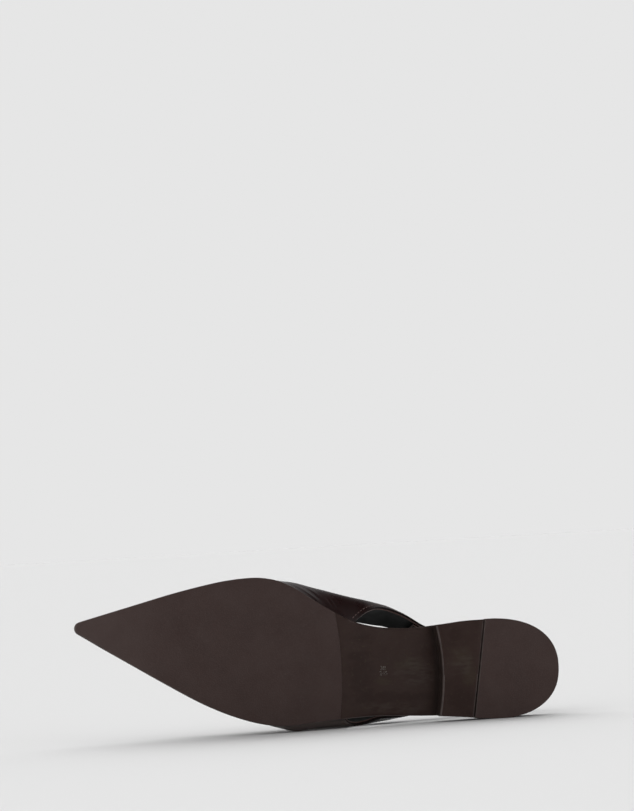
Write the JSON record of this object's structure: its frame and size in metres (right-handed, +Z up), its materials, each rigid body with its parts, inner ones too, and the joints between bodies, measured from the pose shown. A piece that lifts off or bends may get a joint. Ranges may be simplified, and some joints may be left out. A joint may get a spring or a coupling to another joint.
{
  "type": "slingback shoe",
  "caption": "Flat slingback shoe with a pointed toe, low heel, open waist and heel, and a leather strap round the back; lying on its outer side.",
  "frame": {"origin": "centre of the bounding box's base, with the shoe lying on its outer side", "axes": "-X towards the toe, -Y out of the sole's underside, +Z up, towards the shoe's inner side"},
  "size_m": [0.2712, 0.0666, 0.0869],
  "materials": {
    "sole_rubber": "smooth, semi-gloss dark brown",
    "tread_rubber": "matte, finely pebbled dark brown",
    "upper_leather": "glossy, very dark oxblood",
    "insole_leather": "matte black lining"
  },
  "bodies": {
    "root": {"outsole": "sole_rubber", "tread_pad": "tread_rubber", "heel_block": "sole_rubber", "top_piece": "tread_rubber", "insole": "insole_leather", "upper": "upper_leather", "sling_strap": "upper_leather"}
  },
  "joints": []
}
